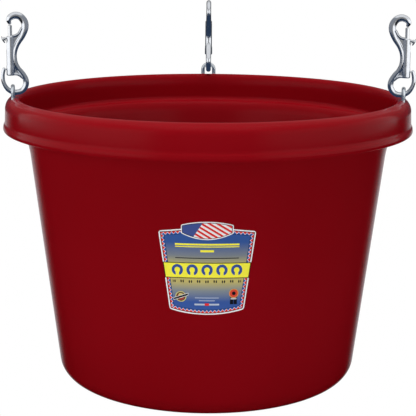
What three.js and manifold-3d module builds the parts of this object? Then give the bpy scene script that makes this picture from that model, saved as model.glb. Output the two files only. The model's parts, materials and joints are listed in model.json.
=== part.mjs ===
// A round hanging feed bucket: a moulded polyethylene tub with a hollow rolled rim, and three
// double-ended snaps that hang on U-bolts through the crown of the rim.
// Millimetres, +Z up. The origin is the middle of the tub's flat underside, and +X is to the right of a
// person who faces the label, which is on the -Y side.
import * as THREE from "three";
import { mergeVertices } from "three/addons/utils/BufferGeometryUtils.js";
import Module from "manifold-3d";

const wasm = await Module();
wasm.setup();

// Tub
const baseRadius = 162;
const taper = 0.1256;
const wall = 3.8;
const cornerRadius = 22;
const shoulderHeight = 250;
const rimTop = 311.4;
const rimInside = 201.9;
const channelInside = 205.6;
const channelOutside = 216.6;
const lipRadius = 222;
const tubSides = 56;

// Label
const labelBottom = 114.8;
const labelLowCorner = 120;
const labelHighCorner = 201.3;
const labelTop = 211.8;
const labelTopWidth = 94;
const labelBottomWidth = 76;
const plaqueHalfWidth = 24.9;
const plaqueFoot = 204.1;
const plaqueCorner = 208.4;
const labelGap = 0.3;
const labelThickness = 0.3;

// U-bolts, with their straps and nuts
const rodRadius = 2.1;
const legSpacing = 13.3;
const crownHeight = 323.4;
const legBottom = 291;
const holeRadius = 2.4;
const strapTop = 301;
const strapThickness = 1.5;
const strapHalfWidth = 3.3;
const nutAcrossFlats = 6.8;
const nutThickness = 3.2;
const gap = 0.3;

// Where the three U-bolts stand: bearing round the rim and the way that each snap's spine faces
const stationRadius = 210.6;
const stations = [
  { name: "left", bearing: 189, facing: 9 },
  { name: "back", bearing: 90, facing: 270 },
  { name: "right", bearing: 351, facing: 171 },
];

// Snap, in its own plane: u towards the tub's axis from the U-bolt, v up from the foot of the lower hook
const hookToCrown = 9.8;
const bodyThickness = 6;
const bodyRound = 1.2;
const webThickness = 4.6;
const barrelU = -1.7;
const barrelRadius = 4.15;
const barrelBottom = 21.4;
const barrelTop = 62.6;
const ferruleRadius = 4.6;
const ferruleTop = 31.5;
const boreRadius = 2.35;
const slotBottom = 48.6;
const slotWidth = 2.9;
const plungerRadius = 2.1;
const plungerBottom = 47;
const plungerTop = 74.9;
const plugBottom = 22;
const plugTop = 28;
const studHeight = 63.2;
const studTilt = 28;
const studShankRadius = 1.1;
const studHoleRadius = 1.35;
const coilCount = 8;
const springRadius = 1.75;
const springWireRadius = 0.32;

const red = new THREE.Color(0.19, 0.004, 0.01);
const zinc = new THREE.Color(0.62, 0.64, 0.67);
const steel = new THREE.Color(0.5, 0.5, 0.5);

function degrees(angle) {
  return THREE.MathUtils.degToRad(angle);
}

function plastic() {
  return new THREE.MeshStandardMaterial({ color: red, roughness: 0.42, metalness: 0 });
}

function plated() {
  return new THREE.MeshStandardMaterial({ color: zinc, roughness: 0.22, metalness: 1 });
}

function bareSteel() {
  return new THREE.MeshStandardMaterial({ color: steel, roughness: 0.4, metalness: 1 });
}

function toSolid(geometry) {
  const bare = geometry.index ? geometry.toNonIndexed() : geometry.clone();
  for (const name of Object.keys(bare.attributes)) {
    if (name !== "position") bare.deleteAttribute(name);
  }
  const merged = mergeVertices(bare, 1e-4);
  const mesh = new wasm.Mesh({
    numProp: 3,
    vertProperties: merged.attributes.position.array,
    triVerts: new Uint32Array(merged.index.array),
  });
  return new wasm.Manifold(mesh);
}

function toGeometry(solid) {
  const mesh = solid.getMesh();
  const geometry = new THREE.BufferGeometry();
  geometry.setAttribute("position", new THREE.BufferAttribute(mesh.vertProperties, 3));
  geometry.setIndex(new THREE.BufferAttribute(mesh.triVerts, 1));
  return geometry;
}

function named(name, geometry, material) {
  const mesh = new THREE.Mesh(geometry, material);
  mesh.name = name;
  return mesh;
}

// A profile of radius and height, turned about Z.
function turned(profile, sides) {
  return new THREE.LatheGeometry(profile, sides).rotateX(Math.PI / 2);
}

function cylinder(radius, bottom, top, sides) {
  const profile = [
    new THREE.Vector2(0, bottom),
    new THREE.Vector2(radius, bottom),
    new THREE.Vector2(radius, top),
    new THREE.Vector2(0, top),
  ];
  return turned(profile, sides);
}

// A flat outline in the XZ plane, made thick about the plane Y = 0.
function plate(shape, thickness, round = 0) {
  const geometry = new THREE.ExtrudeGeometry(shape, {
    depth: thickness - 2 * round,
    curveSegments: 6,
    bevelEnabled: round > 0,
    bevelThickness: round,
    bevelSize: round,
    bevelOffset: -round,
    bevelSegments: 1,
  });
  return geometry.translate(0, 0, round - thickness / 2).rotateX(Math.PI / 2);
}

function polygon(points) {
  return new THREE.Shape(points.map(([x, y]) => new THREE.Vector2(x, y)));
}

function wallRadius(height) {
  return baseRadius + taper * height;
}

// Tub: one moulding. The profile runs out along the underside, up the wall, through the hollow of the
// rim, round the lip, over the crown, and back down the inside to the floor.
function tubProfile() {
  const lean = Math.atan(taper);
  const innerShift = wall / Math.cos(lean);
  const cornerCentre = wallRadius(cornerRadius) - cornerRadius / Math.cos(lean);
  const outline = new THREE.Path();
  outline.moveTo(0, 0);
  outline.lineTo(cornerCentre, 0);
  outline.absarc(cornerCentre, cornerRadius, cornerRadius, -Math.PI / 2, -lean, false);
  outline.lineTo(wallRadius(shoulderHeight), shoulderHeight);
  outline.quadraticCurveTo(196.4, 268, 200.2, 272.6);
  outline.quadraticCurveTo(channelInside, 278, channelInside, 287);
  outline.lineTo(channelInside, 302);
  outline.quadraticCurveTo(channelInside + 0.2, 307.2, 210.4, 306.6);
  outline.quadraticCurveTo(215.2, 305.6, channelOutside - 0.3, 300.5);
  outline.lineTo(channelOutside, 280);
  outline.quadraticCurveTo(216.6, 275.6, 219.4, 275.6);
  outline.quadraticCurveTo(lipRadius, 275.8, lipRadius, 278.6);
  outline.quadraticCurveTo(221.8, 281.6, 220.8, 283);
  outline.quadraticCurveTo(220, 284.4, 220, 287);
  outline.lineTo(219.5, 299.5);
  outline.quadraticCurveTo(219, 306, 214.6, 308.9);
  outline.quadraticCurveTo(210.2, rimTop, 204.9, rimTop);
  outline.quadraticCurveTo(rimInside, rimTop - 0.2, rimInside, 306);
  outline.lineTo(rimInside, 285);
  outline.quadraticCurveTo(rimInside, 281.4, 198, 280);
  outline.quadraticCurveTo(193.6, 278.4, wallRadius(272) - innerShift, 272);
  outline.absarc(cornerCentre, cornerRadius, cornerRadius - wall, -lean, -Math.PI / 2, true);
  outline.lineTo(0, wall);
  return outline.getPoints(2);
}

function makeTub() {
  let solid = toSolid(turned(tubProfile(), tubSides));
  for (const station of stations) {
    for (const side of [-1, 1]) {
      const hole = cylinder(holeRadius, strapTop, rimTop + 5, 12);
      hole.translate(0, (side * legSpacing) / 2, 0);
      hole.applyMatrix4(stationFrame(station));
      solid = solid.subtract(toSolid(hole));
    }
  }
  return named("tub", toGeometry(solid), plastic());
}

// Label: a tapered sticker with bowed ends and a raised plaque in the middle of its top, on the cone of
// the wall.
function labelOutline() {
  const low = labelBottomWidth / 2;
  const high = labelTopWidth / 2;
  const half = new THREE.Path();
  half.moveTo(0, labelBottom);
  half.quadraticCurveTo(low / 2, labelBottom, low - 2, labelLowCorner - 0.7);
  half.quadraticCurveTo(low, labelLowCorner, low + 0.3, labelLowCorner + 2.3);
  half.lineTo(high - 0.3, labelHighCorner - 3);
  half.quadraticCurveTo(high, labelHighCorner, high - 3, labelHighCorner + 0.4);
  half.lineTo(plaqueHalfWidth, plaqueFoot);
  half.lineTo(plaqueHalfWidth, plaqueCorner - 1.4);
  half.quadraticCurveTo(plaqueHalfWidth, plaqueCorner, plaqueHalfWidth - 1.5, plaqueCorner + 0.3);
  half.quadraticCurveTo(plaqueHalfWidth / 2, labelTop, 0, labelTop);
  const right = half.getPoints(4);
  const left = right.slice(1, -1).map((point) => new THREE.Vector2(-point.x, point.y));
  return new THREE.Shape([...right, ...left.reverse()]);
}

function makeLabel() {
  const lowest = labelBottom - 10;
  const highest = labelTop + 10;
  const inner = labelGap;
  const outer = labelGap + labelThickness;
  const profile = [
    new THREE.Vector2(wallRadius(lowest) + inner, lowest),
    new THREE.Vector2(wallRadius(lowest) + outer, lowest),
    new THREE.Vector2(wallRadius(highest) + outer, highest),
    new THREE.Vector2(wallRadius(highest) + inner, highest),
    new THREE.Vector2(wallRadius(lowest) + inner, lowest),
  ];
  const ring = toSolid(turned(profile, tubSides * 2));
  const prism = plate(labelOutline(), 2 * lipRadius);
  prism.translate(0, -lipRadius, 0);
  const material = new THREE.MeshStandardMaterial({ color: 0x2f57a6, roughness: 0.35, metalness: 0 });
  return named("label", toGeometry(ring.intersect(toSolid(prism))), material);
}

// Where a station's pieces go: u along X, across the snap along Y, up along Z.
function stationFrame(station) {
  const bearing = degrees(station.bearing);
  const place = new THREE.Matrix4().makeTranslation(
    stationRadius * Math.cos(bearing),
    stationRadius * Math.sin(bearing),
    0,
  );
  return place.multiply(new THREE.Matrix4().makeRotationZ(degrees(station.facing)));
}

// U-bolt: a rod bent to a half circle, both legs straight down through the crown of the rim.
function uBoltGeometry() {
  const half = legSpacing / 2;
  const springLine = crownHeight - half;
  const points = [new THREE.Vector3(0, -half, legBottom)];
  for (let step = 0; step <= 12; step += 1) {
    const angle = Math.PI * (1 - step / 12);
    points.push(new THREE.Vector3(0, half * Math.cos(angle), springLine + half * Math.sin(angle)));
  }
  points.push(new THREE.Vector3(0, half, legBottom));
  const path = new THREE.CurvePath();
  for (let step = 1; step < points.length; step += 1) {
    path.add(new THREE.LineCurve3(points[step - 1], points[step]));
  }
  const section = new THREE.Shape();
  section.absarc(0, 0, rodRadius, 0, 2 * Math.PI, false);
  return new THREE.ExtrudeGeometry(section, {
    steps: 24,
    curveSegments: 5,
    bevelEnabled: false,
    extrudePath: path,
  });
}

// Backing strap: a flat steel strip with round ends and a hole for each leg, up inside the rim.
function strapGeometry() {
  const half = legSpacing / 2;
  const shape = new THREE.Shape();
  shape.absarc(0, half, strapHalfWidth, 0, Math.PI, false);
  shape.absarc(0, -half, strapHalfWidth, Math.PI, 2 * Math.PI, false);
  for (const side of [-1, 1]) {
    const hole = new THREE.Path();
    hole.absarc(0, side * half, holeRadius, 0, 2 * Math.PI, false);
    shape.holes.push(hole);
  }
  const geometry = new THREE.ExtrudeGeometry(shape, {
    depth: strapThickness,
    curveSegments: 6,
    bevelEnabled: false,
  });
  return geometry.translate(0, 0, strapTop - gap - strapThickness);
}

function nutGeometry(side) {
  const shape = new THREE.Shape();
  const corner = nutAcrossFlats / Math.sqrt(3);
  const points = [];
  for (let step = 0; step < 6; step += 1) {
    const angle = degrees(30 + 60 * step);
    points.push(new THREE.Vector2(corner * Math.cos(angle), corner * Math.sin(angle)));
  }
  shape.setFromPoints(points);
  const hole = new THREE.Path();
  hole.absarc(0, 0, holeRadius, 0, 2 * Math.PI, false);
  shape.holes.push(hole);
  const geometry = new THREE.ExtrudeGeometry(shape, {
    depth: nutThickness,
    curveSegments: 6,
    bevelEnabled: false,
  });
  const top = strapTop - strapThickness - 2 * gap;
  return geometry.translate(0, (side * legSpacing) / 2, top - nutThickness);
}

// Snap frame: one S-shaped rod of changing width, from the tip of the open lower hook, round the hook,
// up the spine and over the upper eye to the nose. Each entry is u, v and half the width.
const framePoints = [
  [-8.8, 28.2, 1.6],
  [-10.6, 20.5, 2.2],
  [-9.3, 12.6, 2.3],
  [-4.6, 6.0, 2.5],
  [2.6, 3.3, 2.9],
  [9.6, 4.9, 3.0],
  [13.7, 10.6, 3.1],
  [13.6, 17.2, 3.0],
  [10.2, 23.6, 2.8],
  [5.4, 29.8, 2.6],
  [2.8, 37.0, 2.5],
  [2.7, 46.0, 2.5],
  [5.6, 54.6, 2.8],
  [10.6, 62.8, 3.3],
  [13.9, 71.0, 3.7],
  [13.6, 77.6, 3.9],
  [9.8, 83.0, 3.8],
  [4.2, 84.8, 3.8],
  [-0.7, 82.9, 3.4],
  [-3.0, 79.7, 2.5],
  [-2.6, 76.9, 1.7],
];

function frameShape() {
  const curve = new THREE.CatmullRomCurve3(
    framePoints.map(([u, v, halfWidth]) => new THREE.Vector3(u, v, halfWidth)),
  );
  const steps = 34;
  const left = [];
  const right = [];
  for (let step = 0; step <= steps; step += 1) {
    const here = curve.getPoint(step / steps);
    const along = curve.getTangent(step / steps);
    const across = new THREE.Vector2(-along.y, along.x).normalize();
    left.push(new THREE.Vector2(here.x + across.x * here.z, here.y + across.y * here.z));
    right.push(new THREE.Vector2(here.x - across.x * here.z, here.y - across.y * here.z));
  }
  return new THREE.Shape([...right, ...endArc(curve, 1), ...left.reverse(), ...endArc(curve, 0)]);
}

// The round end of the frame's rod, at the start or the end of its curve.
function endArc(curve, at) {
  const centre = curve.getPoint(at);
  const along = curve.getTangent(at);
  const heading = Math.atan2(along.y, along.x) + (at === 0 ? Math.PI : 0);
  return [-0.25, 0, 0.25].map((turn) => {
    const angle = heading + turn * Math.PI;
    return new THREE.Vector2(
      centre.x + centre.z * Math.cos(angle),
      centre.y + centre.z * Math.sin(angle),
    );
  });
}

// Flat webs that tie the barrel to the spine under the upper eye and over the lower hook.
const upperWeb = [[-1.7, 50], [4, 50], [9, 58], [11.5, 64], [9.4, 69], [6.9, 65.8], [4, 64.3], [-1.7, 63.4]];
const lowerWeb = [[-1.7, 21.4], [3.4, 21.5], [7, 20.4], [10.4, 17.4], [13, 20], [8.6, 27], [3, 36], [-1.7, 35]];

function barrelProfile() {
  return [
    new THREE.Vector2(0, barrelBottom),
    new THREE.Vector2(ferruleRadius - 0.6, barrelBottom),
    new THREE.Vector2(ferruleRadius, barrelBottom + 0.8),
    new THREE.Vector2(ferruleRadius, ferruleTop - 1.5),
    new THREE.Vector2(barrelRadius, ferruleTop),
    new THREE.Vector2(barrelRadius, barrelTop - 0.8),
    new THREE.Vector2(barrelRadius - 0.8, barrelTop),
    new THREE.Vector2(0, barrelTop),
  ];
}

function snapBodyGeometry() {
  let solid = toSolid(plate(frameShape(), bodyThickness, bodyRound));
  solid = solid.add(toSolid(turned(barrelProfile(), 16).translate(barrelU, 0, 0)));
  solid = solid.add(toSolid(plate(polygon(upperWeb), webThickness)));
  solid = solid.add(toSolid(plate(polygon(lowerWeb), webThickness)));
  const bore = cylinder(boreRadius, barrelBottom - 2, barrelTop + 2.5, 12).translate(barrelU, 0, 0);
  const slot = new THREE.BoxGeometry(8, slotWidth, 20).translate(barrelU - 4, 0, slotBottom + 10);
  return toGeometry(solid.subtract(toSolid(bore)).subtract(toSolid(slot)));
}

// Thumb stud: a shank with a collar and a domed head, tilted down away from the plunger.
function studGeometry() {
  const profile = [
    [0, 0.3],
    [studShankRadius, 0.3],
    [studShankRadius, 6],
    [2.2, 6.3],
    [2.2, 6.9],
    [studShankRadius + 0.2, 7.2],
    [studShankRadius + 0.2, 7.7],
    [3.5, 7.8],
    [3.9, 8.3],
    [3.5, 8.9],
    [2, 9.4],
    [0, 9.5],
  ];
  const points = profile.map(([radius, along]) => new THREE.Vector2(radius, along));
  return turned(points, 10).applyMatrix4(studFrame());
}

function studFrame() {
  const place = new THREE.Matrix4().makeTranslation(barrelU, 0, studHeight);
  return place.multiply(new THREE.Matrix4().makeRotationY(-degrees(90 + studTilt)));
}

function plungerGeometry() {
  const profile = [
    new THREE.Vector2(0, plungerBottom),
    new THREE.Vector2(plungerRadius, plungerBottom),
    new THREE.Vector2(plungerRadius, plungerTop - 1),
    new THREE.Vector2(plungerRadius - 0.8, plungerTop - 0.15),
    new THREE.Vector2(0, plungerTop),
  ];
  const rod = toSolid(turned(profile, 14).translate(barrelU, 0, 0));
  const hole = cylinder(studHoleRadius, 0, 5, 10).applyMatrix4(studFrame());
  return toGeometry(rod.subtract(toSolid(hole)));
}

class Helix extends THREE.Curve {
  constructor(radius, bottom, top, turns) {
    super();
    Object.assign(this, { radius, bottom, top, turns });
  }

  getPoint(t, target = new THREE.Vector3()) {
    const angle = 2 * Math.PI * this.turns * t;
    return target.set(
      barrelU + this.radius * Math.cos(angle),
      this.radius * Math.sin(angle),
      this.bottom + (this.top - this.bottom) * t,
    );
  }
}

function springGeometry() {
  const wire = new THREE.Shape();
  wire.absarc(0, 0, springWireRadius, 0, 2 * Math.PI, false);
  const bottom = plugTop + gap + springWireRadius;
  const top = plungerBottom - gap - springWireRadius;
  return new THREE.ExtrudeGeometry(wire, {
    steps: coilCount * 8,
    curveSegments: 2.5,
    bevelEnabled: false,
    extrudePath: new Helix(springRadius, bottom, top, coilCount),
  });
}

function springPlugGeometry() {
  return cylinder(plungerRadius - 0.05, plugBottom, plugTop, 12).translate(barrelU, 0, 0);
}

function makeSnap(name) {
  const snap = new THREE.Group();
  snap.position.z = crownHeight - hookToCrown;
  snap.add(named(`snap_body_${name}`, snapBodyGeometry(), plated()));
  snap.add(named(`plunger_${name}`, plungerGeometry(), plated()));
  snap.add(named(`thumb_stud_${name}`, studGeometry(), plated()));
  snap.add(named(`spring_${name}`, springGeometry(), bareSteel()));
  snap.add(named(`spring_plug_${name}`, springPlugGeometry(), bareSteel()));
  return snap;
}

function makeStation(station) {
  const group = new THREE.Group();
  const { name } = station;
  stationFrame(station).decompose(group.position, group.quaternion, group.scale);
  group.add(named(`u_bolt_${name}`, uBoltGeometry(), plated()));
  group.add(named(`backing_strap_${name}`, strapGeometry(), bareSteel()));
  group.add(named(`nut_${name}_1`, nutGeometry(-1), bareSteel()));
  group.add(named(`nut_${name}_2`, nutGeometry(1), bareSteel()));
  group.add(makeSnap(name));
  return group;
}

const bucket = new THREE.Group();
bucket.add(makeTub());
bucket.add(makeLabel());
for (const station of stations) bucket.add(makeStation(station));

export default bucket;
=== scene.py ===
import json
import math

import bmesh
import bpy
from mathutils import Matrix, Vector


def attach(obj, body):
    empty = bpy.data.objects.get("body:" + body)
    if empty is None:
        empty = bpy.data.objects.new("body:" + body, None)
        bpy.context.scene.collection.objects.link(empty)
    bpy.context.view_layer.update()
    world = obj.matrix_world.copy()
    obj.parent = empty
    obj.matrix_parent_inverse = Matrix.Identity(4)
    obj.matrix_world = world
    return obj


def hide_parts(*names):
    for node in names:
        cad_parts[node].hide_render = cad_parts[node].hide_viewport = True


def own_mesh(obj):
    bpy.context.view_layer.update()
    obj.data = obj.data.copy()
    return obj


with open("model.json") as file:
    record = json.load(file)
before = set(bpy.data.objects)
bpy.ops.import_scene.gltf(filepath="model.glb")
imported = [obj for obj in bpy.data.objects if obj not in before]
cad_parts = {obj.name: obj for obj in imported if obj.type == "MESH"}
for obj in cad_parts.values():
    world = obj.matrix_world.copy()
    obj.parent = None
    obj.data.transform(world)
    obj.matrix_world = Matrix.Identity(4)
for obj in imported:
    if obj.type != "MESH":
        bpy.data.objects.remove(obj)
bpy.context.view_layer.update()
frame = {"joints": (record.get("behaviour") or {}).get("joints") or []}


# --- Tub ---------------------------------------------------------------------------------------------
# One moulding in red polyethylene: a tapered wall on a flat bottom, a step inside at the top, and a
# hollow rim shaped like an upside-down channel with a bead round its lip. The skin is satin, a little
# wavy from the mould, with a fine pebble that only shows in the highlights.
MM = 0.001
BASE_RADIUS = 162.0
TAPER = 0.1256
WALL = 3.8
CORNER = 22.0
SHOULDER = 250.0
RIM_TOP = 311.4
RIM_INSIDE = 201.9
CHANNEL_INSIDE = 205.6
CHANNEL_OUTSIDE = 216.6
LIP = 222.0
GATE_RADIUS = 9.0
GATE_DEPTH = 0.8
TUB_STEPS = 192
TUB_RED = (0.242, 0.0016, 0.0056)
TUB_RED_DEEP = (0.214, 0.0014, 0.0044)


def wall_radius(height):
    """Outside radius of the tapered wall, in millimetres."""
    return BASE_RADIUS + TAPER * height


class Outline:
    """A profile of points built from lines, bends and arcs."""

    def __init__(self, *start):
        self.points = [start]

    def line(self, *end):
        self.points.append(end)

    def bend(self, control, end, steps=8):
        start = self.points[-1]
        for step in range(1, steps + 1):
            t = step / steps
            near, middle, far = (1 - t) ** 2, 2 * t * (1 - t), t * t
            self.points.append(tuple(near * a + middle * b + far * c for a, b, c in zip(start, control, end)))

    def arc(self, centre, radius, begin, end, steps=12):
        for step in range(steps + 1):
            angle = begin + (end - begin) * step / steps
            self.points.append((centre[0] + radius * math.cos(angle), centre[1] + radius * math.sin(angle)))


def tub_outline():
    lean = math.atan(TAPER)
    shift = WALL / math.cos(lean)
    centre = (wall_radius(CORNER) - CORNER / math.cos(lean), CORNER)
    tub = Outline(0, GATE_DEPTH)
    tub.line(GATE_RADIUS - 1.5, GATE_DEPTH)
    tub.bend((GATE_RADIUS - 0.4, GATE_DEPTH), (GATE_RADIUS, 0), 4)
    tub.line(centre[0], 0)
    tub.arc(centre, CORNER, -math.pi / 2, -lean)
    tub.line(wall_radius(SHOULDER), SHOULDER)
    tub.bend((196.4, 268), (200.2, 272.6))
    tub.bend((CHANNEL_INSIDE, 278), (CHANNEL_INSIDE, 287))
    tub.line(CHANNEL_INSIDE, 302)
    tub.bend((CHANNEL_INSIDE + 0.2, 307.2), (210.4, 306.6))
    tub.bend((215.2, 305.6), (CHANNEL_OUTSIDE - 0.3, 300.5))
    tub.line(CHANNEL_OUTSIDE, 280)
    tub.bend((216.6, 275.6), (219.4, 275.6))
    tub.bend((LIP, 275.8), (LIP, 278.6))
    tub.bend((221.8, 281.6), (220.8, 283))
    tub.bend((220, 284.4), (220, 287))
    tub.line(219.5, 299.5)
    tub.bend((219, 306), (214.6, 308.9), 12)
    tub.bend((210.6, 311.0), (207.8, RIM_TOP), 8)
    tub.bend((RIM_INSIDE, RIM_TOP), (RIM_INSIDE, 295), 20)
    tub.line(RIM_INSIDE, 285)
    tub.bend((RIM_INSIDE, 281.0), (198, 279.2), 10)
    tub.bend((194.0, 277.2), (wall_radius(266) - shift, 266), 12)
    tub.arc(centre, CORNER - WALL, -lean, -math.pi / 2)
    tub.line(0, WALL)
    return tub.points


def turned(bm, points, steps):
    """Spins a profile of radius and height about Z into a closed skin, in metres."""
    chain = [bm.verts.new((radius * MM, 0, height * MM)) for radius, height in points]
    edges = [bm.edges.new(pair) for pair in zip(chain, chain[1:])]
    bmesh.ops.spin(
        bm, geom=chain + edges, cent=(0, 0, 0), axis=(0, 0, 1), angle=2 * math.pi, steps=steps, use_merge=True
    )
    bmesh.ops.remove_doubles(bm, verts=bm.verts, dist=1e-7)


class Maths:
    """A shader value that works in Python sums: each operator adds its Math node."""

    def __init__(self, paint, socket):
        self.paint = paint
        self.socket = socket

    def _join(self, operation, first, second):
        node = self.paint.add("ShaderNodeMath", {"operation": operation}, {0: first, 1: second})
        return Maths(self.paint, node.outputs[0])

    def __add__(self, other):
        return self._join("ADD", self, other)

    __radd__ = __add__

    def __mul__(self, other):
        return self._join("MULTIPLY", self, other)

    __rmul__ = __mul__

    def __sub__(self, other):
        return self._join("SUBTRACT", self, other)

    def __rsub__(self, other):
        return self._join("SUBTRACT", other, self)

    def __truediv__(self, other):
        return self._join("DIVIDE", self, other)

    def __gt__(self, other):
        return self._join("GREATER_THAN", self, other)

    def __lt__(self, other):
        return self._join("LESS_THAN", self, other)

    def __abs__(self):
        return self._join("ABSOLUTE", self, 0.0)

    def least(self, other):
        return self._join("MINIMUM", self, other)

    def most(self, other):
        return self._join("MAXIMUM", self, other)


class Paint:
    """A node material, built by naming each node's type, settings and sockets."""

    def __init__(self, name, roughness, metallic=0.0):
        self.material = bpy.data.materials.new(name)
        self.material.use_nodes = True
        self.tree = self.material.node_tree
        self.shader = self.tree.nodes["Principled BSDF"]
        self.set(self.shader, {"Roughness": roughness, "Metallic": metallic})

    def set(self, node, sockets):
        for key, value in sockets.items():
            if isinstance(value, Maths):
                value = value.socket
            if isinstance(value, bpy.types.NodeSocket):
                self.tree.links.new(value, node.inputs[key])
            else:
                node.inputs[key].default_value = value

    def add(self, kind, settings, sockets):
        node = self.tree.nodes.new(kind)
        for key, value in settings.items():
            if key == "stops":
                ramp = node.color_ramp.elements
                while len(ramp) < len(value):
                    ramp.new(0.5)
                for element, (position, colour) in zip(ramp, value):
                    element.position = position
                    element.color = (*colour, 1)
            else:
                setattr(node, key, value)
        self.set(node, sockets)
        return node

    def place(self):
        return self.add("ShaderNodeTexCoord", {}, {}).outputs["Object"]

    def noise(self, where, scale, detail=3.0, roughness=0.5):
        sockets = {"Vector": where, "Scale": scale, "Detail": detail, "Roughness": roughness}
        return Maths(self, self.add("ShaderNodeTexNoise", {}, sockets).outputs["Fac"])

    def ramp(self, value, low, high):
        """Rises smoothly from 0 to 1 as the value goes from low to high."""
        sockets = {"Value": value, "From Min": low, "From Max": high}
        node = self.add("ShaderNodeMapRange", {"interpolation_type": "SMOOTHSTEP"}, sockets)
        return Maths(self, node.outputs["Result"])

    def mix(self, share, first, second):
        node = self.add("ShaderNodeMix", {"data_type": "RGBA"}, {0: share, 6: first, 7: second})
        return node.outputs[2]

    def bump(self, height, distance, under=None):
        sockets = {"Height": height, "Distance": distance, "Strength": 1.0}
        if under is not None:
            sockets["Normal"] = under
        return self.add("ShaderNodeBump", {}, sockets).outputs["Normal"]


def tub_plastic():
    paint = Paint("tub_polyethylene", 0.4)
    where = paint.place()
    cloud = paint.noise(where, 5.0, 2.0)
    pebble = paint.noise(where, 900.0, 2.0)
    wave = paint.noise(where, 26.0, 1.0)
    shade = (cloud - 0.35) * 2.2
    colour = paint.mix(shade, (*TUB_RED_DEEP, 1), (*TUB_RED, 1))
    rough = 0.13 + pebble * 0.04 + cloud * 0.05
    normal = paint.bump(pebble, 0.00002, paint.bump(wave, 0.0003))
    paint.set(paint.shader, {"Base Color": colour, "Roughness": rough, "Normal": normal})
    paint.set(paint.shader, {"IOR": 1.5, "Specular IOR Level": 0.05})
    return paint.material


def solid(name, bm):
    """A new object in the scene that holds the bmesh."""
    mesh = bpy.data.meshes.new(name)
    bm.to_mesh(mesh)
    bm.free()
    thing = bpy.data.objects.new(name, mesh)
    bpy.context.scene.collection.objects.link(thing)
    return thing


def finished(name, bm, material, body, replaced, sharp=40):
    """Turns a bmesh into a shown piece that rides on its body."""
    piece = solid(name, bm)
    piece.data.shade_smooth()
    piece.data.set_sharp_from_angle(angle=math.radians(sharp))
    piece.data.materials.append(material)
    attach(piece, body)
    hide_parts(*replaced)
    return piece


tub_bm = bmesh.new()
turned(tub_bm, tub_outline(), TUB_STEPS)
bmesh.ops.recalc_face_normals(tub_bm, faces=tub_bm.faces)
finished("tub_shell", tub_bm, tub_plastic(), "root", ["tub"], sharp=60)


# --- Label -------------------------------------------------------------------------------------------
# A vinyl sticker on the front wall: a tapered panel with bowed ends and a raised plaque at the top, a
# pale edge, a toothed border, a field that fades from blue to straw, a striped plaque, a row of
# horseshoes on a yellow band, hoof prints, a badge and a rosette. It carries no words.
LABEL_LOW = 114.8
LABEL_LOW_CORNER = 120.0
LABEL_HIGH_CORNER = 201.3
LABEL_TOP = 211.8
LABEL_LOW_HALF = 38.0
LABEL_HIGH_HALF = 47.0
PLAQUE_HALF = 24.9
PLAQUE_FOOT = 204.1
PLAQUE_CORNER = 208.4
LABEL_LIFT = 0.1
LABEL_THICK = 0.25
LABEL_SLICE = 2.0
LABEL_MIDDLE = 160.0


def label_points():
    """The sticker's outline, flat: its right half from the bottom up, then the left half back down."""
    narrow, wide = LABEL_LOW_HALF, LABEL_HIGH_HALF
    half = Outline(0, LABEL_LOW)
    half.bend((narrow / 2, LABEL_LOW), (narrow - 2, LABEL_LOW_CORNER - 0.7), 10)
    half.bend((narrow, LABEL_LOW_CORNER), (narrow + 0.3, LABEL_LOW_CORNER + 2.3), 5)
    half.line(wide - 0.3, LABEL_HIGH_CORNER - 3)
    half.bend((wide, LABEL_HIGH_CORNER), (wide - 3, LABEL_HIGH_CORNER + 0.4), 5)
    half.line(PLAQUE_HALF, PLAQUE_FOOT)
    half.line(PLAQUE_HALF, PLAQUE_CORNER - 1.4)
    half.bend((PLAQUE_HALF, PLAQUE_CORNER), (PLAQUE_HALF - 1.5, PLAQUE_CORNER + 0.3), 5)
    half.bend((PLAQUE_HALF / 2, LABEL_TOP), (0, LABEL_TOP), 10)
    return half.points + [(-x, z) for x, z in reversed(half.points[1:-1])]


def label_mesh():
    """A flat outline cut into upright slices, wrapped on the cone of the wall and given its thickness."""
    bm = bmesh.new()
    bm.faces.new([bm.verts.new((x, 0, z)) for x, z in label_points()])
    slices = int(LABEL_HIGH_HALF / LABEL_SLICE)
    for step in range(-slices, slices + 1):
        geometry = bm.verts[:] + bm.edges[:] + bm.faces[:]
        bmesh.ops.bisect_plane(bm, geom=geometry, plane_co=(step * LABEL_SLICE, 0, 0), plane_no=(1, 0, 0))
    print_map = bm.loops.layers.uv.new("print")
    for face in bm.faces:
        for loop in face.loops:
            loop[print_map].uv = (loop.vert.co.x / 100, loop.vert.co.z / 100)
    for vert in bm.verts:
        angle = vert.co.x / wall_radius(LABEL_MIDDLE)
        radius = wall_radius(vert.co.z) + LABEL_LIFT
        vert.co = Vector((radius * math.sin(angle), -radius * math.cos(angle), vert.co.z)) * MM
    bmesh.ops.recalc_face_normals(bm, faces=bm.faces)
    if sum(face.normal.y for face in bm.faces) > 0:
        bmesh.ops.reverse_faces(bm, faces=bm.faces)
    bmesh.ops.solidify(bm, geom=bm.faces[:], thickness=-LABEL_THICK * MM)
    return bm


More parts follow.
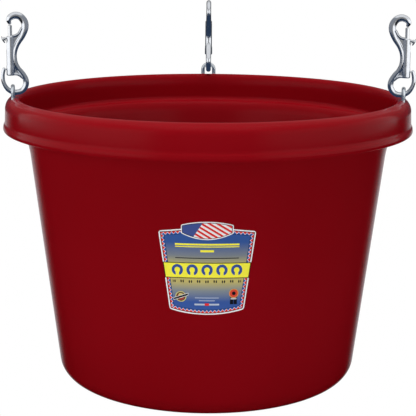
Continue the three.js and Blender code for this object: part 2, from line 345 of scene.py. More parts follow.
class Print:
    """The sticker's artwork: colours laid over each other on a flat x and z in millimetres."""

    def __init__(self):
        self.paint = Paint("label_print", 0.3)
        sticker = self.paint.add("ShaderNodeUVMap", {"uv_map": "print"}, {}).outputs["UV"]
        parts = self.paint.add("ShaderNodeSeparateXYZ", {}, {"Vector": sticker})
        self.x = Maths(self.paint, parts.outputs["X"]) * 100.0
        self.z = Maths(self.paint, parts.outputs["Y"]) * 100.0
        self.side = abs(self.x)

    def lay(self, mask, colour):
        self.colour = self.paint.mix(mask, self.colour, (*colour, 1))

    def wave(self, value, half_period):
        """Distance to the nearest even multiple of the half period: a triangle wave."""
        node = self.paint.add("ShaderNodeMath", {"operation": "PINGPONG"}, {0: value, 1: half_period})
        return Maths(self.paint, node.outputs[0])

    def disc(self, x, z, radius, colour):
        across, rise = self.x - x, self.z - z
        self.lay((across * across + rise * rise) < radius * radius, colour)

    def bar(self, x, z, half_width, half_height, colour, slope=0.0):
        across = self.x - x
        rise = self.z - z - across * slope
        self.lay((abs(across) < half_width) * (abs(rise) < half_height), colour)


INK = (0.006, 0.008, 0.016)
PAPER = (0.93, 0.94, 0.96)
RED_INK = (0.78, 0.022, 0.018)
BLUE_INK = (0.022, 0.110, 0.46)
YELLOW_INK = (0.98, 0.92, 0.050)


def print_field(art):
    """The fading field behind everything, and the pinstripes across it."""
    fade = art.paint.add(
        "ShaderNodeValToRGB",
        {
            "stops": [
                (0.0, (0.035, 0.105, 0.400)),
                (0.14, (0.035, 0.100, 0.370)),
                (0.26, (0.230, 0.270, 0.300)),
                (0.36, (0.560, 0.480, 0.150)),
                (0.52, (0.560, 0.500, 0.140)),
                (0.64, (0.200, 0.230, 0.270)),
                (0.78, (0.030, 0.095, 0.340)),
                (1.0, (0.025, 0.090, 0.340)),
            ]
        },
        {"Fac": (art.z - LABEL_LOW) / (LABEL_TOP - LABEL_LOW)},
    )
    art.colour = fade.outputs["Color"]
    for height, reach, thick in ((188.4, 31.0, 0.9), (186.0, 31.0, 0.5), (181.6, 6.5, 1.1)):
        art.bar(0, height, reach, thick, YELLOW_INK)
    art.bar(0, 174.2, 31.0, 0.45, INK)
    art.bar(0, 132.6, 12.0, 0.4, (0.45, 0.52, 0.66))
    art.bar(0, 129.6, 8.0, 0.4, (0.45, 0.52, 0.66))
    art.bar(0, 125.6, 12.5, 0.9, (0.50, 0.56, 0.66))
    art.bar(0, 125.6, 2.2, 1.3, RED_INK)


def print_border(art):
    """Pale edge, dark keyline and a blue ribbon with red teeth, set in from the nearest edge."""
    climb = (LABEL_HIGH_HALF - LABEL_LOW_HALF) / (LABEL_HIGH_CORNER - LABEL_LOW_CORNER)
    from_side = LABEL_LOW_HALF + (art.z - LABEL_LOW_CORNER) * climb - art.side
    shoulder = (PLAQUE_FOOT - LABEL_HIGH_CORNER) / (LABEL_HIGH_HALF - PLAQUE_HALF)
    from_top = PLAQUE_FOOT - (art.side - PLAQUE_HALF) * shoulder - art.z
    drop = (LABEL_LOW_CORNER - LABEL_LOW) / LABEL_LOW_HALF**2
    from_low = art.z - LABEL_LOW - art.side * art.side * drop
    from_end = from_top.least(from_low)
    inside = from_side.least(from_end)
    beside = from_side < from_end
    along = art.z * beside + art.x * (1.0 - beside)
    tooth = art.wave(along, 2.0)
    depth = (inside - 2.2) * 0.8
    art.lay(inside < 5.2, INK)
    art.lay(inside < 4.7, BLUE_INK)
    art.lay((inside < 4.7) * ((tooth + depth) < 1.75), RED_INK)
    art.lay((inside < 4.7) * (abs(tooth + depth - 1.95) < 0.22), PAPER)
    art.lay(inside < 1.9, INK)
    art.lay(inside < 1.2, PAPER)
    return from_side


def print_plaque(art):
    """The raised plaque: slanting red and white stripes beside a plain blue end, with a bowed foot."""
    bow = art.side * art.side
    foot = 194.6 + bow * (6.6 / PLAQUE_HALF**2)
    head = LABEL_TOP - bow * ((LABEL_TOP - PLAQUE_CORNER) / PLAQUE_HALF**2)
    inside = (PLAQUE_HALF - art.side).least(head - art.z).least(art.z - foot + 1.4)
    stripes = art.wave(art.z * 1.25 + art.x * 0.8, 3.0)
    art.lay((inside > 0.0) * (art.z > 190.0), PAPER)
    art.lay((inside > 0.9) * (art.z > 190.0), INK)
    picture = (inside > 1.5) * (art.z > 190.0)
    art.lay(picture, (0.88, 0.88, 0.90))
    art.lay(picture * (stripes < 1.5), RED_INK)
    art.lay(picture * ((art.x * 1.6 - art.z) < -217.5), (0.05, 0.085, 0.30))


def print_band(art, from_side):
    """The yellow band with its dark edges and the row of blue horseshoes."""
    rise = art.z - 161.4 + art.side * art.side * 0.0002
    art.lay((abs(rise) < 8.2) * (from_side > -1.0), INK)
    art.lay((abs(rise) < 7.4) * (from_side > 0.8), YELLOW_INK)
    across = art.wave(art.x, 7.3)
    high = rise - 0.5
    reach = across * across * 1.12 + high * high
    shoe = (reach < 5.9**2) * (reach > 2.9**2) * (1.0 - (high < -1.6) * (across < 1.7))
    shoe = shoe * (high > -5.2) * (art.side < 36.4)
    art.lay(shoe, (0.028, 0.085, 0.36))


def print_badges(art):
    """Hoof prints under the band, a ringed badge with a bar, and a rosette with two tails."""
    across = art.wave(art.x, 4.1)
    rise = art.z - 149.6 - art.wave(art.x + 2.0, 8.2) * 0.06
    halves = abs(across - 1.05)
    hoof = (halves * halves * 2.2 + rise * rise * 0.45) < 1.05
    art.lay(hoof * (art.side < 34.0), INK)
    art.disc(-26.2, 133.6, 5.6, (0.62, 0.56, 0.20))
    art.disc(-26.2, 133.6, 4.6, INK)
    art.disc(-26.2, 133.6, 3.8, (0.40, 0.05, 0.04))
    art.disc(-26.2, 134.6, 2.6, (0.62, 0.56, 0.20))
    art.bar(-26.2, 133.6, 7.6, 1.4, PAPER, 0.36)
    art.bar(-26.2, 133.6, 7.3, 1.0, INK, 0.36)
    for tail in (-1.9, 1.9):
        art.bar(27.0 + tail, 130.0, 1.7, 4.4, INK)
    art.bar(27.0, 131.6, 3.0, 0.8, (0.55, 0.56, 0.58))
    art.disc(27.0, 137.2, 4.8, (0.80, 0.34, 0.05))
    art.disc(27.0, 137.2, 4.1, (0.72, 0.06, 0.03))
    art.disc(27.0, 137.2, 1.9, INK)


def label_print():
    art = Print()
    print_field(art)
    from_side = print_border(art)
    print_plaque(art)
    print_badges(art)
    print_band(art, from_side)
    rough = 0.28 + art.paint.noise(art.paint.place(), 300.0) * 0.1
    art.paint.set(art.paint.shader, {"Base Color": art.colour, "Roughness": rough})
    art.paint.set(art.paint.shader, {"Specular IOR Level": 0.3})
    return art.paint.material


finished("label_sticker", label_mesh(), label_print(), "root", ["label"])


# --- U-bolts -----------------------------------------------------------------------------------------
# Each is a zinc-plated rod bent to a half circle. Its two legs pass down through the crown of the rim
# and end in a rolled thread inside the channel, where the strap and the nuts are.
ROD = 2.1
LEG_SPACING = 13.3
LEG_BOTTOM = 291.0
THREAD_TOP = 304.0
THREAD_PITCH = 0.8
THREAD_DEPTH = 0.16
ROD_SIDES = 24
ROD_TIP = 0.8
LEG_STEPS = 72
BEND_STEPS = 32


def station(joint):
    """Where one snap's pieces go: u towards the tub on X, across on Y, up on Z, from its hinge."""
    across = -Vector(joint["axis"])
    up = Vector((0, 0, 1))
    inward = across.cross(up)
    spot = Vector(joint["pos_m"])
    place = Matrix((inward, across, up)).transposed().to_4x4()
    place.translation = (spot.x, spot.y, 0)
    return place


hinges = {joint["name"].split("_")[1]: joint for joint in frame["joints"] if joint["type"] == "hinge"}
stations = {side: station(joint) for side, joint in hinges.items()}
crown = hinges["left"]["pos_m"][2] / MM


def ring(bm, centre, along, side, wide, thick, sides):
    """One closed loop of a swept rod: wide across the path, thick the other way."""
    cross = along.cross(side).normalized()
    stance = Matrix((cross * wide, side.normalized() * thick, along)).transposed().to_4x4()
    stance.translation = centre
    return bmesh.ops.create_circle(bm, segments=sides, radius=1, matrix=stance)["verts"]


def swept(bm, path, sides):
    """Joins rings along a path of (centre, along, side, wide, thick) and closes both ends."""
    rings = [ring(bm, *stop, sides) for stop in path]
    loops = [list({edge for vert in loop for edge in vert.link_edges}) for loop in rings]
    for first, second in zip(loops, loops[1:]):
        bmesh.ops.bridge_loops(bm, edges=first + second)
    for loop in (rings[0], rings[-1]):
        bmesh.ops.contextual_create(bm, geom=loop)


def u_bolt_path():
    """Up one leg, over the half circle and down the other leg."""
    half = LEG_SPACING / 2
    spring_line = crown - half
    side = Vector((1, 0, 0))
    thread = THREAD_TOP - LEG_BOTTOM
    rise = [LEG_BOTTOM + thread * step / LEG_STEPS for step in range(LEG_STEPS + 1)]
    path = []
    for height in rise:
        tip = ROD_TIP if height == LEG_BOTTOM else 1.0
        path.append((Vector((0, -half, height)), Vector((0, 0, 1)), side, ROD * tip, ROD * tip))
    for step in range(BEND_STEPS + 1):
        angle = math.pi * (1 - step / BEND_STEPS)
        centre = Vector((0, half * math.cos(angle), spring_line + half * math.sin(angle)))
        path.append((centre, Vector((0, math.sin(angle), -math.cos(angle))), side, ROD, ROD))
    for height in reversed(rise):
        tip = ROD_TIP if height == LEG_BOTTOM else 1.0
        path.append((Vector((0, half, height)), Vector((0, 0, -1)), side, ROD * tip, ROD * tip))
    return path


def u_bolt_mesh(place):
    bm = bmesh.new()
    swept(bm, u_bolt_path(), ROD_SIDES)
    half = LEG_SPACING / 2
    for vert in bm.verts:
        x, y, z = vert.co
        if z < THREAD_TOP - 0.3:
            axis = math.copysign(half, y)
            phase = math.atan2(y - axis, x) + 2 * math.pi * z / THREAD_PITCH
            shrink = 1 - THREAD_DEPTH * (0.5 + 0.5 * math.cos(phase)) / ROD
            vert.co = (x * shrink, axis + (y - axis) * shrink, z)
    bmesh.ops.scale(bm, vec=(MM, MM, MM), verts=bm.verts)
    bm.transform(place)
    bmesh.ops.recalc_face_normals(bm, faces=bm.faces)
    return bm


def plating(name, colour, roughness, grain):
    """Bright plated metal: faint casting ripple under the plating and a little haze."""
    paint = Paint(name, roughness, 1.0)
    where = paint.place()
    haze = paint.noise(where, 160.0, 4.0, 0.6)
    ripple = paint.noise(where, 240.0, 1.0)
    tint = paint.mix(haze, (*colour, 1), tuple(0.82 * part for part in colour) + (1,))
    normal = paint.bump(ripple, grain)
    rough = roughness + (haze - 0.5) * 0.12
    paint.set(paint.shader, {"Base Color": tint, "Roughness": rough, "Normal": normal})
    return paint.material


rod_plating = plating("u_bolt_zinc", (0.66, 0.70, 0.73), 0.3, 0.00002)
for side, place in stations.items():
    finished(f"u_bolt_rod_{side}", u_bolt_mesh(place), rod_plating, "root", [f"u_bolt_{side}"])


# --- Backing straps and nuts -------------------------------------------------------------------------
# Inside the hollow rim a punched steel strap spreads the load of each U-bolt, held up by two
# hexagon nuts with chamfered corners.
STRAP_TOP = 300.7
STRAP_THICK = 1.5
STRAP_HALF = 3.3
STRAP_ROUND = 0.25
HOLE = 2.4
NUT_FLATS = 6.8
NUT_THICK = 3.2
NUT_GAP = 0.3


def cut_solid(blank, tool, operation):
    """Cuts one bmesh by another and returns the result."""
    pair = [solid("cut_blank", blank), solid("cut_tool", tool)]
    cut = pair[0].modifiers.new("cut", "BOOLEAN")
    cut.operation, cut.object, cut.solver = operation, pair[1], "EXACT"
    result = bmesh.new()
    result.from_object(pair[0], bpy.context.evaluated_depsgraph_get())
    for thing in pair:
        bpy.data.objects.remove(thing)
    return result


def add_cylinder(bm, radius, depth, spot, sides):
    bmesh.ops.create_cone(
        bm, cap_ends=True, segments=sides, radius1=radius, radius2=radius, depth=depth, matrix=spot
    )


def add_slab(bm, corners, rise):
    """A flat face through the corners, pulled out along rise."""
    face = bm.faces.new([bm.verts.new(corner) for corner in corners])
    lifted = bmesh.ops.extrude_face_region(bm, geom=[face])["geom"]
    moved = [part for part in lifted if isinstance(part, bmesh.types.BMVert)]
    bmesh.ops.translate(bm, vec=rise, verts=moved)


def flat_edges(bm):
    """The level edges round the two faces of a plate or a nut."""
    return [edge for edge in bm.edges if abs(edge.verts[0].co.z - edge.verts[1].co.z) < 0.01]


def bevelled(bm, edges, width, segments):
    """Rounds or chamfers the edges."""
    bmesh.ops.bevel(
        bm, geom=edges, offset=width, offset_type="OFFSET",
        segments=segments, affect="EDGES", profile=0.5, material=-1,
    )


def strap_mesh(place):
    bm = bmesh.new()
    half = LEG_SPACING / 2
    outline = Outline(STRAP_HALF, -half)
    outline.arc((0, half), STRAP_HALF, 0, math.pi, 16)
    outline.arc((0, -half), STRAP_HALF, math.pi, 2 * math.pi, 16)
    foot = STRAP_TOP - STRAP_THICK
    add_slab(bm, [(x, y, foot) for x, y in outline.points[1:]], (0, 0, STRAP_THICK))
    bmesh.ops.recalc_face_normals(bm, faces=bm.faces)
    bevelled(bm, flat_edges(bm), STRAP_ROUND, 2)
    drill = bmesh.new()
    for end in (-half, half):
        spot = Matrix.Translation((0, end, STRAP_TOP - STRAP_THICK / 2))
        add_cylinder(drill, HOLE, 4 * STRAP_THICK, spot, 24)
    bm = cut_solid(bm, drill, "DIFFERENCE")
    bmesh.ops.scale(bm, vec=(MM, MM, MM), verts=bm.verts)
    bm.transform(place)
    return bm


def nut_mesh(place, end):
    corner = NUT_FLATS / math.sqrt(3)
    chamfer = corner - NUT_FLATS / 2
    top = STRAP_TOP - STRAP_THICK - NUT_GAP
    spot = Matrix.Translation((0, 0, top - NUT_THICK / 2))
    bm = bmesh.new()
    add_cylinder(bm, corner, NUT_THICK, spot @ Matrix.Rotation(math.radians(30), 4, "Z"), 6)
    turning = bmesh.new()
    add_cylinder(turning, NUT_FLATS / 2 + 0.9 * chamfer, NUT_THICK, spot, 36)
    bevelled(turning, flat_edges(turning), chamfer, 1)
    bm = cut_solid(bm, turning, "INTERSECT")
    drill = bmesh.new()
    add_cylinder(drill, HOLE, 2 * NUT_THICK, spot, 24)
    bm = cut_solid(bm, drill, "DIFFERENCE")
    bmesh.ops.translate(bm, vec=(0, end * LEG_SPACING / 2, 0), verts=bm.verts)
    bmesh.ops.scale(bm, vec=(MM, MM, MM), verts=bm.verts)
    bm.transform(place)
    return bm


plain_steel = plating("strap_steel", (0.48, 0.47, 0.45), 0.38, 0.00005)
for side, place in stations.items():
    strap = strap_mesh(place)
    finished(f"strap_{side}", strap, plain_steel, "root", [f"backing_strap_{side}"], sharp=30)
    for number, end in ((1, -1), (2, 1)):
        name = f"hex_nut_{side}_{number}"
        nut = nut_mesh(place, end)
        finished(name, nut, plain_steel, "root", [f"nut_{side}_{number}"], sharp=30)


# --- Snap bodies -------------------------------------------------------------------------------------
# A zinc die casting, plated bright: an S-shaped rod makes the open lower hook, the spine and the upper
# eye, and a drilled barrel with a slot is cast to its spine through two thin webs.
HOOK_TO_CROWN = 9.8
BARREL_U = -1.7
BARREL = 4.15
BARREL_BOTTOM = 21.4
BARREL_TOP = 62.6
FERRULE = 4.6
FERRULE_TOP = 31.5
BORE = 2.35
SLOT_BOTTOM = 48.6
SLOT_WIDTH = 2.9
SLOT_DEPTH = 8.0
SLOT_TALL = 20.0
VOXEL = 0.36
SMOOTHING = 3

# u, v, half width in the snap's plane, half thickness across it
SPINE = [
    (-8.9, 28.0, 1.9, 2.0),
    (-10.4, 20.5, 2.1, 2.2),
    (-9.1, 12.6, 2.1, 2.4),
    (-4.6, 6.0, 2.5, 2.8),
    (2.6, 3.3, 2.9, 3.0),
    (9.6, 4.9, 3.0, 3.0),
    (13.7, 10.6, 3.1, 3.1),
    (13.6, 17.2, 3.0, 3.2),
    (10.2, 23.6, 2.8, 3.3),
    (5.4, 29.8, 2.6, 3.4),
    (2.8, 37.0, 2.5, 3.5),
    (2.7, 46.0, 2.5, 3.6),
    (5.6, 54.6, 2.8, 3.5),
    (10.6, 62.8, 3.3, 3.3),
    (13.9, 71.0, 3.7, 3.1),
    (13.6, 77.6, 3.9, 3.0),
    (9.8, 83.0, 3.8, 3.0),
    (4.2, 84.8, 3.75, 3.0),
    (-0.9, 82.8, 3.4, 3.0),
    (-2.8, 79.7, 2.7, 2.7),
    (-2.0, 76.95, 1.9, 2.0),
]
# the ledges that edge the webs: over the lower hook, and under the upper eye
LOWER_LEDGE = [(-4.2, 22.8, 1.3, 3.4), (1.5, 22.9, 1.4, 3.7), (6.4, 22.0, 1.4, 3.4), (10.4, 18.8, 1.3, 3.1)]
UPPER_LEDGE = [(-1.0, 62.9, 1.2, 3.4), (3.6, 63.6, 1.2, 3.3), (7.4, 66.0, 1.3, 3.2), (10.3, 71.0, 1.4, 3.0)]
UPPER_WEB = [(-1.7, 50), (4, 50), (9, 58), (11.5, 64), (9.4, 69), (6.9, 65.8), (4, 64.3), (-1.7, 63.4)]
LOWER_WEB = [(-1.7, 22), (3.4, 22), (7, 21), (10.4, 18), (13, 20), (8.6, 27), (3, 36), (-1.7, 35)]
WEB_THICK = 3.6


def between(p, q, r, s, t):
    """The value at t between q and r on a smooth curve through p, q, r and s."""
    bend = 2 * p - 5 * q + 4 * r - s
    twist = 3 * q - p - 3 * r + s
    return 0.5 * (2 * q + (r - p) * t + bend * t * t + twist * t**3)


def curved(stops, steps):
    """A smooth path of points through the stops."""
    count = len(stops) - 1
    ends = [stops[0], *stops, stops[-1]]
    points = []
    for step in range(count * steps + 1):
        leg = min(step // steps, count - 1)
        t = step / steps - leg
        points.append(tuple(between(*four, t) for four in zip(*ends[leg : leg + 4])))
    return points


def rounded_end(stop, way):
    """Smaller and smaller rings past one end of a rod, which close it with a dome."""
    centre, along, across, wide, thick = stop
    rings = []
    for cap in (0.35, 0.7, 0.92):
        small = (1 - cap**2) ** 0.5
        rings.append((centre + along * way * wide * cap, along, across, wide * small, thick * small))
    return rings


def casting_path(stops, steps=6):
    """Rings for a round-ended rod through stops of u, v, half width and half thickness."""
    points = curved(stops, steps)
    across = Vector((0, 1, 0))
    path = []
    for number, (u, v, wide, thick) in enumerate(points):
        before, after = points[max(number - 1, 0)], points[min(number + 1, len(points) - 1)]
        along = Vector((after[0] - before[0], 0, after[1] - before[1])).normalized()
        path.append((Vector((u, 0, v)), along, across, wide, thick))
    return rounded_end(path[0], -1)[::-1] + path + rounded_end(path[-1], 1)


def lathe(bm, profile, steps, place):
    """A turned piece in millimetres, added to a bmesh in its own place."""
    piece = bmesh.new()
    turned(piece, profile, steps)
    bmesh.ops.scale(piece, vec=(1 / MM,) * 3, verts=piece.verts)
    bmesh.ops.recalc_face_normals(piece, faces=piece.faces)
    piece.transform(place)
    mesh = bpy.data.meshes.new("lathe")
    piece.to_mesh(mesh)
    piece.free()
    bm.from_mesh(mesh)
    bpy.data.meshes.remove(mesh)


def raw_casting():
    """The rod, ledges, webs and barrel, still as separate skins that run into each other."""
    bm = bmesh.new()
    swept(bm, casting_path(SPINE), 20)
    swept(bm, casting_path(LOWER_LEDGE), 16)
    swept(bm, casting_path(UPPER_LEDGE), 16)
    for web in (UPPER_WEB, LOWER_WEB):
        add_slab(bm, [(u, -WEB_THICK / 2, v) for u, v in web], (0, WEB_THICK, 0))
    barrel = Outline(0, BARREL_BOTTOM)
    barrel.line(FERRULE - 0.5, BARREL_BOTTOM)
    barrel.line(FERRULE, BARREL_BOTTOM + 0.6)
    barrel.line(FERRULE, FERRULE_TOP - 4.0)
    barrel.bend((FERRULE, FERRULE_TOP - 1.5), (BARREL, FERRULE_TOP + 1.0), 6)
    barrel.line(BARREL, BARREL_TOP - 0.9)
    barrel.bend((BARREL, BARREL_TOP), (BARREL - 0.9, BARREL_TOP), 4)
    barrel.line(0, BARREL_TOP)
    lathe(bm, barrel.points, 32, Matrix.Translation((BARREL_U, 0, 0)))
    bmesh.ops.recalc_face_normals(bm, faces=bm.faces)
    return bm


def fused(bm):
    """One skin with small fillets from skins that run into each other."""
    rough = solid("casting", bm)
    skin = rough.modifiers.new("skin", "REMESH")
    skin.mode, skin.voxel_size = "VOXEL", VOXEL
    fillet = rough.modifiers.new("fillet", "SMOOTH")
    fillet.factor, fillet.iterations = 0.5, SMOOTHING
    cast = bmesh.new()
    cast.from_object(rough, bpy.context.evaluated_depsgraph_get())
    bpy.data.objects.remove(rough)
    return cast


def snap_body_mesh():
    """The fused casting, with the bore drilled through its barrel and the slot milled in its side."""
    drill = bmesh.new()
    depth = BARREL_TOP - BARREL_BOTTOM + 4
    spot = Matrix.Translation((BARREL_U, 0, BARREL_BOTTOM - 2 + depth / 2))
    add_cylinder(drill, BORE, depth, spot, 32)
    cast = cut_solid(fused(raw_casting()), drill, "DIFFERENCE")
    mill = bmesh.new()
    spot = Matrix.Translation((BARREL_U - SLOT_DEPTH / 2, 0, SLOT_BOTTOM + SLOT_TALL / 2))
    size = Matrix.Diagonal((SLOT_DEPTH, SLOT_WIDTH, SLOT_TALL, 1))
    bmesh.ops.create_cube(mill, size=1, matrix=spot @ size)
    return cut_solid(cast, mill, "DIFFERENCE")


def moved_copy(bm, place, shift):
    """A copy of a snap piece, lifted by shift and put at its station, in metres."""
    copy = bm.copy()
    bmesh.ops.translate(copy, vec=(0, 0, shift), verts=copy.verts)
    bmesh.ops.scale(copy, vec=(MM, MM, MM), verts=copy.verts)
    copy.transform(place)
    return copy


snap_foot = crown - HOOK_TO_CROWN
cast_plating = plating("snap_nickel", (0.76, 0.78, 0.81), 0.2, 0.00002)
snap_body = snap_body_mesh()
for side, place in stations.items():
    body = moved_copy(snap_body, place, snap_foot)
    name = f"snap_casting_{side}"
    finished(name, body, cast_plating, f"snap_{side}", [f"snap_body_{side}"], sharp=50)
snap_body.free()


# --- Plungers and thumb studs ------------------------------------------------------------------------
# The round bolt that closes the upper eye, with a rounded nose, and the turned stud that is pressed
# into it and sticks out through the slot: a shank, a collar and a domed head.
PLUNGER = 2.1
PLUNGER_BOTTOM = 47.0
PLUNGER_TOP = 74.9
STUD_HEIGHT = 63.2
STUD_TILT = 28.0
SHANK = 1.1


def plunger_mesh():
    bm = bmesh.new()
    rod = Outline(0, PLUNGER_BOTTOM)
    rod.line(PLUNGER - 0.2, PLUNGER_BOTTOM)
    rod.line(PLUNGER, PLUNGER_BOTTOM + 0.2)
    rod.line(PLUNGER, PLUNGER_TOP - 1.5)
    rod.bend((PLUNGER, PLUNGER_TOP), (0, PLUNGER_TOP), 8)
    lathe(bm, rod.points, 32, Matrix.Translation((BARREL_U, 0, 0)))
    return bm


def stud_mesh():
    bm = bmesh.new()
    stud = Outline(0, 0.3)
    stud.line(SHANK, 0.3)
    stud.line(SHANK, 5.9)
    stud.bend((2.2, 5.9), (2.2, 6.5), 4)
    stud.bend((2.2, 7.0), (SHANK + 0.2, 7.2), 4)
    stud.line(SHANK + 0.2, 7.5)
    stud.bend((SHANK + 0.3, 7.8), (3.3, 7.8), 4)
    stud.bend((3.9, 7.9), (3.9, 8.4), 5)
    stud.bend((3.7, 9.4), (0, 9.5), 8)
    tilt = Matrix.Rotation(-math.radians(90 + STUD_TILT), 4, "Y")
    lathe(bm, stud.points, 28, Matrix.Translation((BARREL_U, 0, STUD_HEIGHT)) @ tilt)
    return bm


bright_steel = plating("plunger_nickel", (0.78, 0.79, 0.80), 0.14, 0.00001)
plunger, stud = plunger_mesh(), stud_mesh()
for side, place in stations.items():
    moving = f"bolt_{side}"
    rod = moved_copy(plunger, place, snap_foot)
    finished(f"plunger_rod_{side}", rod, bright_steel, moving, [f"plunger_{side}"])
    knob = moved_copy(stud, place, snap_foot)
    finished(f"stud_{side}", knob, bright_steel, moving, [f"thumb_stud_{side}"])
plunger.free()
stud.free()


# --- Springs and plugs -------------------------------------------------------------------------------
# A wire spring in each barrel pushes the plunger up. The foot of the bore is closed by a steel plug
# with a rolled edge.
COILS = 8
COIL_RADIUS = 1.75
WIRE = 0.32
PLUG_BOTTOM = 22.0
PLUG_TOP = 28.0
PLUG_RADIUS = 2.05
CLEAR = 0.3


def spring_mesh():
    bm = bmesh.new()
    bottom, top = PLUG_TOP + CLEAR + WIRE, PLUNGER_BOTTOM - CLEAR - WIRE
    steps = COILS * 20
    path = []
    for step in range(steps + 1):
        angle = 2 * math.pi * COILS * step / steps
        radial = Vector((math.cos(angle), math.sin(angle), 0))
        climb = (top - bottom) / (2 * math.pi * COILS * COIL_RADIUS)
        along = Vector((-radial.y, radial.x, climb)).normalized()
        centre = Vector((BARREL_U, 0, bottom + (top - bottom) * step / steps)) + radial * COIL_RADIUS
        path.append((centre, along, radial, WIRE, WIRE))
    swept(bm, path, 8)
    bmesh.ops.recalc_face_normals(bm, faces=bm.faces)
    return bm


def plug_mesh():
    bm = bmesh.new()
    plug = Outline(0, PLUG_BOTTOM + 0.5)
    plug.line(1.1, PLUG_BOTTOM + 0.3)
    plug.bend((1.6, PLUG_BOTTOM), (PLUG_RADIUS - 0.3, PLUG_BOTTOM), 4)
    plug.bend((PLUG_RADIUS, PLUG_BOTTOM), (PLUG_RADIUS, PLUG_BOTTOM + 0.4), 3)
    plug.line(PLUG_RADIUS, PLUG_TOP - 0.3)
    plug.line(PLUG_RADIUS - 0.3, PLUG_TOP)
    plug.line(0, PLUG_TOP)
    lathe(bm, plug.points, 28, Matrix.Translation((BARREL_U, 0, 0)))
    return bm


spring, plug = spring_mesh(), plug_mesh()
spring_length = PLUNGER_BOTTOM - PLUG_TOP - CLEAR
for side, place in stations.items():
    slide = next(joint for joint in frame["joints"] if joint["name"] == f"plunger_{side}_slide")
    travel = slide["range_m"][1] / MM
    wire = moved_copy(spring, place, snap_foot)
    barrel = f"snap_{side}"
    coil = finished(f"coil_spring_{side}", wire, plain_steel, barrel, [f"spring_{side}"])
    seat = (*place.translation.xy, (snap_foot + PLUG_TOP + CLEAR) * MM)
    (spring_length - travel) / spring_length
    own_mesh(coil)
    foot = moved_copy(plug, place, snap_foot)
    finished(f"bore_plug_{side}", foot, plain_steel, barrel, [f"spring_plug_{side}"])
spring.free()
plug.free()


# --- Floor, light and camera -------------------------------------------------------------------------
# A plain white floor in a white studio. Large soft lights stand above, in front and at both sides.
# Cards that only reflections see give the bright metal its white, grey and dark blue parts. The
# camera is a little above the rim and looks down at the front of the tub.
FLOOR_HALF = 6.0
FLOOR_DROP = 0.0004
CARD_RADIUS = 0.26
CARD_LIFT = 0.0008
CARD_GLOW = 2.1
PANEL_RADIUS = 0.6
PANEL_LOW = 0.250
PANEL_HIGH = 0.6
PANEL_BACK = 0.2
PANEL_GLOW = 1.4
PANEL_DIM = (0.20786, 0.21, 0.21429, 1)
STUDIO_WHITE = (0.97, 0.98, 1.0, 1)
DARK = (0.013, 0.024, 0.048, 1)
EVEN_LIGHT = 0.17
CAMERA_DISTANCE = 1.46285
CAMERA_HEIGHT = 0.49705
CAMERA_DOWN = 0.2040
CAMERA_ROLL = 0.0068
CAMERA_LENS = 116.70
CAMERA_SHIFT = (0.0012, -0.0194)


def floor():
    """A plane just under the tub's base, pure white to the camera."""
    bm = bmesh.new()
    level = Matrix.Translation((0, 0, -FLOOR_DROP))
    bmesh.ops.create_grid(bm, x_segments=1, y_segments=1, size=FLOOR_HALF, matrix=level)
    plane = solid("floor", bm)
    paint = Paint("floor_white", 0.9)
    paint.set(paint.shader, {"Base Color": (0.80, 0.80, 0.80, 1)})
    glow = paint.add("ShaderNodeEmission", {}, {"Color": (1, 1, 1, 1), "Strength": 1.0})
    seen = paint.add("ShaderNodeLightPath", {}, {}).outputs["Is Camera Ray"]
    blend = paint.add("ShaderNodeMixShader", {}, {0: seen, 1: paint.shader.outputs[0], 2: glow.outputs[0]})
    paint.set(paint.tree.nodes["Material Output"], {"Surface": blend.outputs[0]})
    plane.data.materials.append(paint.material)
    plane.visible_glossy = False


def reflected(name, bm, paint, shader):
    """A card of the studio that is seen only as a reflection."""
    card = solid(name, bm)
    paint.set(paint.tree.nodes["Material Output"], {"Surface": shader.outputs[0]})
    card.data.materials.append(paint.material)
    for ray in ("camera", "diffuse", "shadow", "transmission"):
        setattr(card, f"visible_{ray}", False)


def card_over_rim():
    """A level disc just over the rim: dark blue from above, clear from below."""
    bm = bmesh.new()
    level = Matrix.Translation((0, 0, RIM_TOP * MM + CARD_LIFT))
    bmesh.ops.create_circle(bm, cap_ends=True, segments=64, radius=CARD_RADIUS, matrix=level)
    paint = Paint("card_over_rim", 1.0)
    under = paint.add("ShaderNodeNewGeometry", {}, {}).outputs["Backfacing"]
    glow = paint.add("ShaderNodeEmission", {}, {"Color": DARK, "Strength": CARD_GLOW})
    clear = paint.add("ShaderNodeBsdfTransparent", {}, {})
    blend = paint.add("ShaderNodeMixShader", {}, {0: under, 1: glow.outputs[0], 2: clear.outputs[0]})
    reflected("card_over_rim", bm, paint, blend)


def upright_card(name, middle, axis, size, colour):
    """A plain card stood up by a quarter turn about X or Y."""
    bm = bmesh.new()
    upright = Matrix.Rotation(math.pi / 2, 4, axis) @ Matrix.Diagonal((*size, 1, 1))
    stance = Matrix.Translation(middle) @ upright
    bmesh.ops.create_grid(bm, x_segments=1, y_segments=1, size=0.5, matrix=stance)
    paint = Paint(name, 1.0)
    glow = paint.add("ShaderNodeEmission", {}, {"Color": colour, "Strength": 1.0})
    reflected(name, bm, paint, glow)


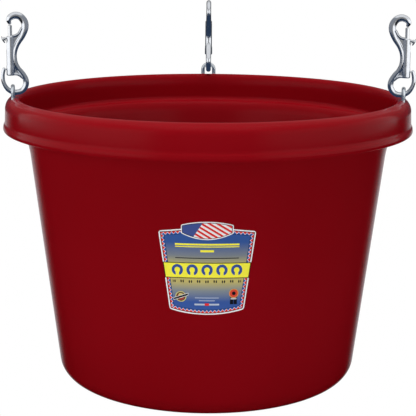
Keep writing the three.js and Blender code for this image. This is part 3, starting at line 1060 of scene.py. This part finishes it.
def bright_panel():
    """A ring of white panels, open at the back, brightest at the sides and with its foot off the floor."""
    bm = bmesh.new()
    level = Matrix.Translation((0, 0, PANEL_LOW))
    foot = bmesh.ops.create_circle(bm, segments=96, radius=PANEL_RADIUS, matrix=level)
    edges = list({edge for vert in foot["verts"] for edge in vert.link_edges})
    lifted = bmesh.ops.extrude_edge_only(bm, edges=edges)["geom"]
    head = [part for part in lifted if isinstance(part, bmesh.types.BMVert)]
    bmesh.ops.translate(bm, vec=(0, 0, PANEL_HIGH - PANEL_LOW), verts=head)
    rear = [face for face in bm.faces if face.calc_center_median().y > PANEL_BACK]
    bmesh.ops.delete(bm, geom=rear, context="FACES")
    paint = Paint("panel_white", 1.0)
    parts = paint.add("ShaderNodeSeparateXYZ", {}, {"Vector": paint.place()})
    side = abs(Maths(paint, parts.outputs["X"])) / PANEL_RADIUS
    colour = paint.mix(paint.ramp(side, 0.30, 0.50), PANEL_DIM, STUDIO_WHITE)
    glow = paint.add("ShaderNodeEmission", {}, {"Color": colour, "Strength": PANEL_GLOW})
    reflected("panel_white", bm, paint, glow)


def soft_light(name, spot, aim, size, power):
    data = bpy.data.lights.new(name, "AREA")
    data.shape, data.size, data.size_y, data.energy = "RECTANGLE", *size, power
    lamp = bpy.data.objects.new(name, data)
    lamp.location = spot
    lamp.rotation_mode = "QUATERNION"
    lamp.rotation_quaternion = (Vector(aim) - Vector(spot)).to_track_quat("-Z", "Y")
    lamp.visible_camera = False
    lamp.visible_glossy = False
    bpy.context.scene.collection.objects.link(lamp)


class Surround(Paint):
    """The world's nodes, built in the same way as a material's."""

    def __init__(self):
        world = bpy.data.worlds.new("surround")
        bpy.context.scene.world = world
        world.use_nodes = True
        world.cycles.sampling_method = "NONE"
        self.tree = world.node_tree
        self.tree.nodes.clear()


def surround():
    """White for the camera, even for the diffuse light, and a studio for what is mirrored."""
    world = Surround()
    where = world.add("ShaderNodeTexCoord", {}, {}).outputs["Generated"]
    parts = world.add("ShaderNodeSeparateXYZ", {}, {"Vector": where})
    y, z = (Maths(world, parts.outputs[axis]) for axis in "YZ")
    edge = world.ramp(y, 0.72, 0.96) * (1.0 - world.ramp(z, -0.12, 0.04))
    above = world.ramp(z, -0.14, 0.02)
    roof = world.ramp(z, 0.25, 0.60) * (1.0 - 0.55 * world.ramp(y, 0.20, 0.60))
    level = (0.22 + 0.73 * roof) * above + 0.8 * edge
    colour = world.mix(above.most(edge), DARK, STUDIO_WHITE)
    ray = world.add("ShaderNodeLightPath", {}, {}).outputs
    mirrored = world.add("ShaderNodeBackground", {}, {"Color": colour, "Strength": level.most(0.02)})
    even = world.add("ShaderNodeBackground", {}, {"Color": (1, 1, 1, 1), "Strength": EVEN_LIGHT})
    white = world.add("ShaderNodeBackground", {}, {"Color": (1, 1, 1, 1), "Strength": 1.0})
    inner = {0: ray["Is Glossy Ray"], 1: even.outputs[0], 2: mirrored.outputs[0]}
    inner = world.add("ShaderNodeMixShader", {}, inner)
    outer = {0: ray["Is Camera Ray"], 1: inner.outputs[0], 2: white.outputs[0]}
    outer = world.add("ShaderNodeMixShader", {}, outer)
    world.add("ShaderNodeOutputWorld", {}, {"Surface": outer.outputs[0]})


floor()
card_over_rim()
upright_card("card_divider", (0, -0.2, 0.47), "Y", (0.3, 0.6), (0.26, 0.28, 0.32, 1))
upright_card("card_behind", (0, 0.3, 0.31), "X", (1.6, 0.11), (0.07, 0.08, 0.10, 1))
bright_panel()
surround()
soft_light("key", (-1.6, -1.3, 0.7), (0, 0, 0.2), (1.4, 1.4), 14.5)
soft_light("fill", (1.7, -1.2, 0.6), (0, 0, 0.2), (1.4, 1.4), 7.5)
soft_light("front", (0.0, -2.4, 0.9), (0, 0, 0.2), (1.6, 1.6), 4.2)
soft_light("top", (0.0, -0.3, 2.0), (0, 0, 0.1), (1.6, 1.6), 37)

camera = bpy.data.objects.new("camera", bpy.data.cameras.new("camera"))
bpy.context.scene.collection.objects.link(camera)
camera.data.lens = CAMERA_LENS
camera.data.shift_x, camera.data.shift_y = CAMERA_SHIFT
camera.location = (0, -CAMERA_DISTANCE, CAMERA_HEIGHT)
camera.rotation_mode = "QUATERNION"
turn = Matrix.Rotation(math.pi / 2 - CAMERA_DOWN, 3, "X") @ Matrix.Rotation(CAMERA_ROLL, 3, "Z")
camera.rotation_quaternion = turn.to_quaternion()
bpy.context.scene.camera = camera
bpy.context.scene.view_settings.view_transform = "Standard"
